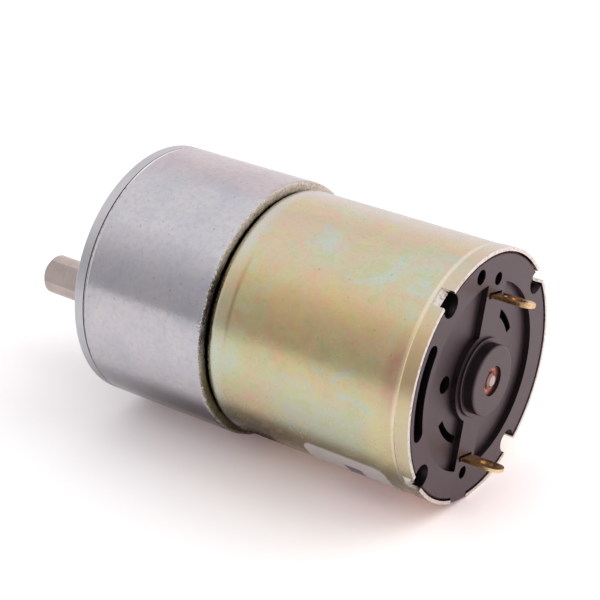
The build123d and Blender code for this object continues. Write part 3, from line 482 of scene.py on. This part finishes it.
def brass(name, color, dull, low=0.16, high=0.34, dark_x=None):
    """Brass or copper with duller clouds. dark_x is where along X it gets dull all over."""
    s = Shader(name, metallic=1.0)
    cloud = s.noise(0.9, 4, 0.6, 0.5)
    grain = s.noise(8.0, 3, 0.6)
    shade = s.map(cloud, 0.42, 0.72, 0.0, 0.8)
    if dark_x:
        x, _, _ = s.place()
        shade = s.math("MAXIMUM", shade, s.map(x, *dark_x, 0.0, 0.85))
    s.color(s.mix(shade, color, dull))
    s.roughness(s.spread(grain, low, high))
    s.bump(grain, 0.003)
    return s.material


def turned_steel(name, color, stain, low, high, dark_tip_ring=False):
    """Ground or drawn steel with fine marks round the axis.

    With the tip option set, a ring at the turned-down edge of the motor shaft's rear end is darker."""
    s = Shader(name, metallic=1.0)
    rings = s.noise(1.0, 3, 0.6, vector=s.stretched(14.0, 0.2, 0.2))
    cloud = s.noise(0.5, 3, 0.5)
    steel = s.mix(s.map(cloud, 0.4, 0.7, 0.0, 0.6), color, stain)
    if dark_tip_ring:
        x, _, _ = s.place()
        edge = s.between(s.axis_radius(), *SHAFT_TIP_EDGE_R, 0.05)
        steel = s.mix(s.times(edge, s.map(x, *SHAFT_TIP_X, 0.0, 0.8)), steel, (0.25, 0.17, 0.16))
    s.color(steel)
    s.roughness(s.spread(rings, low, high))
    s.bump(rings, 0.002)
    return s.material


def grained(name, light, dark, per_mm, low, high, bump_mm, metallic=0.0):
    """A plain grained surface for sintered, moulded and pressed pieces."""
    s = Shader(name, metallic=metallic)
    grain = s.noise(per_mm, 4, 0.65)
    s.color(s.mix(s.map(grain, 0.35, 0.65, 0.0, 1.0), dark, light))
    s.roughness(s.spread(grain, low, high))
    s.bump(grain, bump_mm)
    return s.material


def laminations():
    """Punched sheets, seen as fine dark lines along the stack."""
    s = Shader("lamination_steel", metallic=1.0)
    x, _, _ = s.place()
    from_gap = s.math("PINGPONG", x, SHEET_THICKNESS / 2)
    sheet = s.map(from_gap, 0.0, SHEET_GAP, 0.0, 1.0)
    s.color(s.mix(sheet, (0.10, 0.09, 0.09), (0.42, 0.41, 0.40)))
    s.roughness(s.spread(s.noise(3.0), 0.3, 0.5))
    s.bump(sheet, 0.05)
    return s.material


def label_paper():
    """Satin sticker with three plain bars in place of text."""
    s = Shader("label_paper")
    fibre = s.noise(4.0, 4, 0.6)
    paper = s.mix(fibre, (0.34, 0.31, 0.30), (0.44, 0.40, 0.39))
    ink = 0.0
    for along, around in LABEL_BARS:
        ink = s.math("MAXIMUM", ink, s.patch(along, 0.03, around, 0.1))
    s.color(s.mix(s.times(ink, 0.85), paper, (0.05, 0.05, 0.06)))
    s.roughness(s.spread(fibre, 0.30, 0.42))
    s.bump(fibre, 0.004)
    return s.material


MATERIALS = {
    "zinc_casting": zinc_casting(),
    "plated_sleeve": plated_sleeve(),
    "plated_plate": plated_plate(),
    "screw_steel": turned_steel("screw_steel", (0.52, 0.52, 0.54), (0.416, 0.416, 0.432), 0.20, 0.35),
    "pin_steel": turned_steel(
        "pin_steel", (0.53, 0.45, 0.44), (0.44, 0.38, 0.37), 0.16, 0.30, dark_tip_ring=True
    ),
    "sintered_bronze": grained(
        "sintered_bronze", (0.72, 0.33, 0.24), (0.46, 0.19, 0.13), 5.0, 0.35, 0.55, 0.02, metallic=1.0
    ),
    "chromate_can": chromate_can(),
    "label_paper": label_paper(),
    "ferrite": grained("ferrite", (0.10, 0.10, 0.11), (0.05, 0.05, 0.055), 3.0, 0.5, 0.8, 0.03),
    "cap_plastic": cap_plastic(),
    "terminal_brass": brass("terminal_brass", (0.95, 0.69, 0.37), (0.48, 0.25, 0.07), dark_x=TAB_ROOT_X),
    "carbon": grained("carbon", (0.06, 0.06, 0.065), (0.03, 0.03, 0.03), 6.0, 0.35, 0.6, 0.02),
    "lamination_steel": laminations(),
    "insulator_plastic": grained(
        "insulator_plastic", (0.72, 0.69, 0.58), (0.62, 0.58, 0.46), 2.0, 0.4, 0.55, 0.01
    ),
    "copper_wire": brass("copper_wire", (0.72, 0.30, 0.14), (0.50, 0.17, 0.07), 0.20, 0.32),
    "commutator_copper": brass("commutator_copper", (0.78, 0.42, 0.26), (0.42, 0.24, 0.16)),
    "gear_brass": brass("gear_brass", (0.78, 0.60, 0.30), (0.62, 0.45, 0.20)),
    "gear_steel": grained(
        "gear_steel", (0.46, 0.46, 0.47), (0.28, 0.28, 0.29), 4.0, 0.3, 0.5, 0.015, metallic=1.0
    ),
    "shaft_steel": turned_steel("shaft_steel", (0.58, 0.50, 0.465), (0.464, 0.40, 0.372), 0.20, 0.32),
}

for row in frame["record"]["subparts"]:
    node_materials = NODES[row["node"]].data.materials
    node_materials.clear()
    node_materials.append(MATERIALS[row["material_slot"]])

# ------------------------------------------------------------------ mesh building


def link_mesh(name, points, faces):
    """A new object with a new mesh, in the scene."""
    mesh = bpy.data.meshes.new(name)
    mesh.from_pydata(points, [], faces)
    piece = bpy.data.objects.new(name, mesh)
    bpy.context.collection.objects.link(piece)
    return piece


def lathe(name, rings, steps, roughen, materials, face_material, body):
    """A smooth closed solid of revolution about X, riding on a body.

    rings is a closed loop of (x, radius). roughen(ring, point) moves a point, and
    face_material(ring) picks the material of the faces that follow a ring."""
    points = []
    for ring, (x, radius) in enumerate(rings):
        for step in range(steps):
            turn = 2 * math.pi * step / steps
            point = Vector((x, radius * math.cos(turn), radius * math.sin(turn)))
            points.append(tuple(roughen(ring, point)))
    faces = []
    for ring in range(len(rings)):
        following = (ring + 1) % len(rings)
        for step in range(steps):
            beside = (step + 1) % steps
            faces.append((
                ring * steps + step,
                ring * steps + beside,
                following * steps + beside,
                following * steps + step,
            ))
    piece = link_mesh(name, points, faces)
    piece.data.validate()
    piece.data.update()
    for material in materials:
        piece.data.materials.append(material)
    piece.data.shade_smooth()
    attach(piece, body)
    for index, polygon in enumerate(piece.data.polygons):
        polygon.material_index = face_material(index // steps)
    return piece


# ------------------------------------------------------------------ gearbox sleeve

SLEEVE_STEPS = 900
PLATE_GAP = 0.05 * MM               # from the lip's inner face to the rear plate
LIP_THICKNESS = 0.45 * MM

FRONT_EDGE = 0.12 * MM              # the rolled front corner
FRONT_EDGE_RINGS = (1, 2)
# Extra rings keep the roughened edges' normals from streaking along the sleeve.
FRONT_SUPPORT = 0.6 * MM
REAR_SUPPORTS = (0.9 * MM, 0.6 * MM)

SEAM_WAVE = 6 * MM
SEAM_NICK = 0.5 * MM
SEAM_OPEN_AT, SEAM_OPEN_SPREAD = 25, 50     # degrees round the axis, from +Y towards +Z
SEAM_GAP, SEAM_WAVE_GAP, SEAM_NICK_GAP = 0.09, 0.16, 0.06       # mm

TORN_RINGS = 9
TORN_ROUNDING = 0.16 * MM
TORN_ROUNDING_POWER = 0.6
TEAR_SIZE, TEAR_LIFT = 1.1 * MM, 0.09       # lifts are in mm
NICK_SIZE, NICK_LIFT = 0.35 * MM, 0.07
BURR_SIZE, BURR_LIFT = 0.22 * MM, 0.22
NICK_SHIFT = Vector((7, 3, 1))
BURR_SHIFT = Vector((2, 9, 4))
BURR_RINGS = 3
LOWEST_LIFT = -0.02
SWAY = 0.05


def open_seam(point):
    """A point of the front edge, set back where the seam to the front plate stands open."""
    slow = noise.noise(point / SEAM_WAVE)
    ragged = noise.noise(point / SEAM_NICK)
    turn = math.degrees(math.atan2(point.z, point.y))
    flank = max(0.0, 1 - abs(turn - SEAM_OPEN_AT) / SEAM_OPEN_SPREAD) ** 0.5
    opening = flank * (SEAM_GAP + SEAM_WAVE_GAP * max(0.0, slow)) + SEAM_NICK_GAP * max(0.0, ragged)
    return point - Vector((opening * MM, 0, 0))


def tear(point, rings_in):
    """A point of the torn rear edge, so many rings in from the outside."""
    coarse = noise.noise(point / TEAR_SIZE)
    fine = noise.noise(point / NICK_SIZE + NICK_SHIFT)
    burr = noise.noise(point / BURR_SIZE + BURR_SHIFT)
    out = Vector((0, point.y, point.z)).normalized()
    at_edge = max(0.0, 1 - rings_in / BURR_RINGS)
    lift = max(TEAR_LIFT * coarse + NICK_LIFT * fine, LOWEST_LIFT)
    lift += BURR_LIFT * at_edge * max(0.0, burr)
    sway = SWAY * fine - SWAY
    return point + Vector((lift * MM, 0, 0)) + out * sway * MM


def sleeve():
    """The gearbox shroud: rolled front edge, wavy parting line and a torn, rolled-in rear edge."""
    outer, inner, lip = SHROUD_R, SHROUD_R - SHROUD_WALL, SHROUD_LIP_R
    front, rear = SHROUD_FRONT_X, SHROUD_REAR_X
    plain_front = [
        (front, inner),
        (front, outer - FRONT_EDGE),
        (front - 0.3 * FRONT_EDGE, outer - 0.3 * FRONT_EDGE),
        (front - FRONT_EDGE, outer),
        (front - FRONT_SUPPORT, outer),
        ((front + rear) / 2, outer),
    ]
    plain_front += [(rear + support, outer) for support in REAR_SUPPORTS]
    torn = []
    for step in range(TORN_RINGS + 1):
        share = step / TORN_RINGS
        bulge = math.sin(math.pi * share) ** TORN_ROUNDING_POWER
        torn.append((rear + TORN_ROUNDING * (1 - bulge), outer - (outer - lip) * share))
    plain_rear = [
        (rear + LIP_THICKNESS, lip),
        (REAR_PLATE_REAR_X - PLATE_GAP, lip),
        (REAR_PLATE_REAR_X - PLATE_GAP, inner),
    ]
    torn_from = len(plain_front)
    torn_to = torn_from + TORN_RINGS

    def roughen(ring, point):
        if torn_from <= ring <= torn_to:
            return tear(point, ring - torn_from)
        if ring in FRONT_EDGE_RINGS:
            return open_seam(point)
        return point

    def face_material(ring):
        return 1 if torn_from <= ring < torn_to else 0

    materials = [MATERIALS["plated_sleeve"], torn_edge()]
    rings = plain_front + torn + plain_rear
    return lathe("shroud_sleeve", rings, SLEEVE_STEPS, roughen, materials, face_material, "housing")


shroud = sleeve()
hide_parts("gearbox_shroud")

# ------------------------------------------------------------------ floor, light and camera

FLOOR_TILT = math.atan2(SHROUD_R - CAN_BAND_R, SHROUD_REAR_X - CAN_REAR_X)
FLOOR_SIZE = 8.0
FLOOR_GAP = 0.02 * MM
FLOOR_COLOR = (0.93, 0.915, 0.92)
# The floor's colour as seen in reflections only: a painted, darker reflection of the floor.
FLOOR_IN_METAL = (0.72, 0.70, 0.71)
# Painted bounce light: the floor glows faintly warm beside the contact line.
FLOOR_GLOW = (0.9, 0.40, 0.32)
FLOOR_GLOW_STRENGTH = 0.10
GLOW_SIDE_Y = (12.0, 30.0)          # where the glow dies away, in mm on the floor
GLOW_FRONT_X = (-5.0, 25.0)         # X on the floor is from the sleeve's rear edge
GLOW_REAR_X = (-30.0, -12.0)        # stronger behind the first

WALL_START = math.radians(32.0)
WALL_END = math.radians(50.0)
WALL_TINT = (1.0, 0.985, 1.03)
WALL_GREYS = [                      # by height, 0 at the horizon and 1 overhead
    (0.0, 0.44), (0.14, 0.45), (0.31, 0.48), (0.47, 0.55),
    (0.61, 0.65), (0.72, 0.81), (0.80, 0.90), (1.0, 0.95),
]
TENT_COLORS = [                     # by height, with a darker seam at 0.65
    (0.0, (0.95, 0.905, 0.92)), (0.58, (0.93, 0.88, 0.895)), (0.65, (0.79, 0.75, 0.78)),
    (0.71, (0.91, 0.90, 0.92)), (1.0, (0.92, 0.91, 0.93)),
]
FILL_COLORS = [(0.0, (1.10, 1.00, 1.01)), (0.5, (1.14, 1.13, 1.135)), (1.0, (1.12, 1.13, 1.14))]

SHADE_X = (-56.0 * MM, 10.0 * MM)
SHADE_Y = (7.0 * MM, 21.0 * MM)
SHADE_REACH = 9.0 * MM              # how far the card goes in under the part
SHADE_LIFT = 0.3 * MM
SHADE_COLOR = (0.02, 0.018, 0.018)
SHADE_CORE = 0.25                   # share of the half-width that is at full density
SHADE_DENSITIES = [                 # along the card, from its rear end
    (0.0, 0.60), (0.36, 0.62), (0.44, 0.74), (0.56, 0.78),
    (0.68, 0.66), (0.80, 0.42), (1.0, 0.25),
]
SHADE_CORNER_X, SHADE_CORNER_SOFT = (-27.5, -20.0), 2.0     # mm
SHADE_CORNER_Y = (10.0, 14.0)
SHADE_CORNER_DENSITY = 0.95

LAMP_PLACE = (-0.50, -0.22, 0.60)
LAMP_TARGET = (-0.03, 0.0, 0.0)
LAMP_WIDTH = 0.6
LAMP_POWER = 2.2

CAMERA_LENS = 110.6
CAMERA_SENSOR = 36.0
CAMERA_CLIP = 0.01
CAMERA_PLACE = (-0.1590, 0.1843, 0.1205)
CAMERA_RIGHT = (-0.8102, -0.5861, 0.0)
CAMERA_FORWARD = (0.5203, -0.7192, -0.4605)


def floor_height(x):
    return -SHROUD_R - math.tan(FLOOR_TILT) * (x - SHROUD_REAR_X)


def floor():
    """The part lies on the rear edges of its gearbox and of its can, so the floor tilts a little."""
    place = (SHROUD_REAR_X, 0, -SHROUD_R - FLOOR_GAP)
    bpy.ops.mesh.primitive_plane_add(size=FLOOR_SIZE, location=place)
    plane = bpy.context.object
    plane.name = "floor"
    plane.rotation_euler = (0, FLOOR_TILT, 0)
    s = Shader("floor_paper", roughness=0.6)
    rays = s.new("LightPath")
    # Painted reflection: glossy rays see the floor darker than the camera does.
    s.color(s.mix(rays.outputs["Is Glossy Ray"], FLOOR_COLOR, FLOOR_IN_METAL))
    s.bsdf.inputs["Specular IOR Level"].default_value = 0.2
    s.bsdf.inputs["Emission Color"].default_value = (*FLOOR_GLOW, 1)
    x, y, _ = s.place()
    # Painted bounce light: a faint warm glow near the contact line, strongest towards the rear.
    near = s.times(s.map(y, *GLOW_SIDE_Y, 1.0, 0.1), s.map(x, *GLOW_FRONT_X, 1.0, 0.2))
    near = s.times(near, s.map(x, *GLOW_REAR_X, 1.6, 1.0))
    s.put(s.times(near, FLOOR_GLOW_STRENGTH), s.bsdf.inputs["Emission Strength"])
    plane.data.materials.append(s.material)


def back_lamp():
    """A soft lamp above and behind, left out of reflections."""
    data = bpy.data.lights.new("behind", "AREA")
    data.shape = "RECTANGLE"
    data.size = data.size_y = LAMP_WIDTH
    data.energy = LAMP_POWER
    lamp = bpy.data.objects.new("behind", data)
    bpy.context.collection.objects.link(lamp)
    lamp.location = LAMP_PLACE
    aim = Vector(LAMP_TARGET) - Vector(LAMP_PLACE)
    lamp.rotation_mode = "QUATERNION"
    lamp.rotation_quaternion = aim.to_track_quat("-Z", "Y")
    lamp.visible_glossy = False


def studio_world():
    """A white tent with a grey wall low down on the side that the motor's +Y flank faces.

    Matt surfaces are lit by an even fill instead, which isn't seen in reflections."""
    world = bpy.data.worlds.new("studio")
    bpy.context.scene.world = world
    world.use_nodes = True
    nodes = Nodes(world.node_tree)
    x, y, height = nodes.separate(nodes.new("TexCoord").outputs["Generated"])
    turn = nodes.math("ARCTAN2", y, nodes.math("ABSOLUTE", x))
    side = nodes.map(turn, WALL_START, WALL_END, 0.0, 1.0, "SMOOTHSTEP")
    wall_colors = [(place, tuple(grey * tint for tint in WALL_TINT)) for place, grey in WALL_GREYS]
    seen = nodes.mix(side, nodes.ramp(height, TENT_COLORS), nodes.ramp(height, wall_colors))
    rays = nodes.new("LightPath")
    light = nodes.mix(rays.outputs["Is Diffuse Ray"], seen, nodes.ramp(height, FILL_COLORS))
    nodes.link(light, world.node_tree.nodes["Background"].inputs["Color"])


def reflected_shade():
    """A dark card just over the floor beside the contact line, seen only in reflections.

    It is darkest in the corner by the sleeve's rear edge."""
    low, high = SHADE_Y
    rear, front = SHADE_X
    inside = low - SHADE_REACH
    corners = [(rear, inside), (front, inside), (front, high), (rear, high)]
    points = [(x, y, floor_height(x) + SHADE_LIFT) for x, y in corners]
    card = link_mesh("shade_card", points, [(0, 1, 2, 3)])
    card.visible_camera = False
    card.visible_diffuse = False
    card.visible_shadow = False
    s = Shader("shade_card", roughness=1.0, color=SHADE_COLOR)
    x, y, _ = s.place()
    middle = (low + high) / 2 / MM
    half = (high - low) / 2 / MM
    from_middle = s.math("ABSOLUTE", s.math("SUBTRACT", y, middle))
    density = s.ramp(s.map(x, rear / MM, front / MM, 0.0, 1.0), SHADE_DENSITIES)
    across = s.map(from_middle, SHADE_CORE * half, half, 1.0, 0.0)
    corner = s.times(
        s.between(x, *SHADE_CORNER_X, SHADE_CORNER_SOFT),
        s.map(y, *SHADE_CORNER_Y, SHADE_CORNER_DENSITY, 0.0),
    )
    s.put(s.math("MAXIMUM", s.times(density, across), corner), s.bsdf.inputs["Alpha"])
    card.data.materials.append(s.material)


def photograph_camera():
    """A long lens above and behind the motor, looking at its end cap."""
    data = bpy.data.cameras.new("camera")
    data.lens = CAMERA_LENS
    data.sensor_width = CAMERA_SENSOR
    data.clip_start = CAMERA_CLIP
    camera = bpy.data.objects.new("camera", data)
    bpy.context.collection.objects.link(camera)
    right = Vector(CAMERA_RIGHT).normalized()
    forward = Vector(CAMERA_FORWARD).normalized()
    up = right.cross(forward)
    rows = Matrix((right, up, -forward)).transposed().to_4x4()
    camera.matrix_world = Matrix.Translation(CAMERA_PLACE) @ rows
    bpy.context.scene.camera = camera


floor()
studio_world()
reflected_shade()
back_lamp()
photograph_camera()
bpy.context.scene.view_settings.view_transform = "Standard"
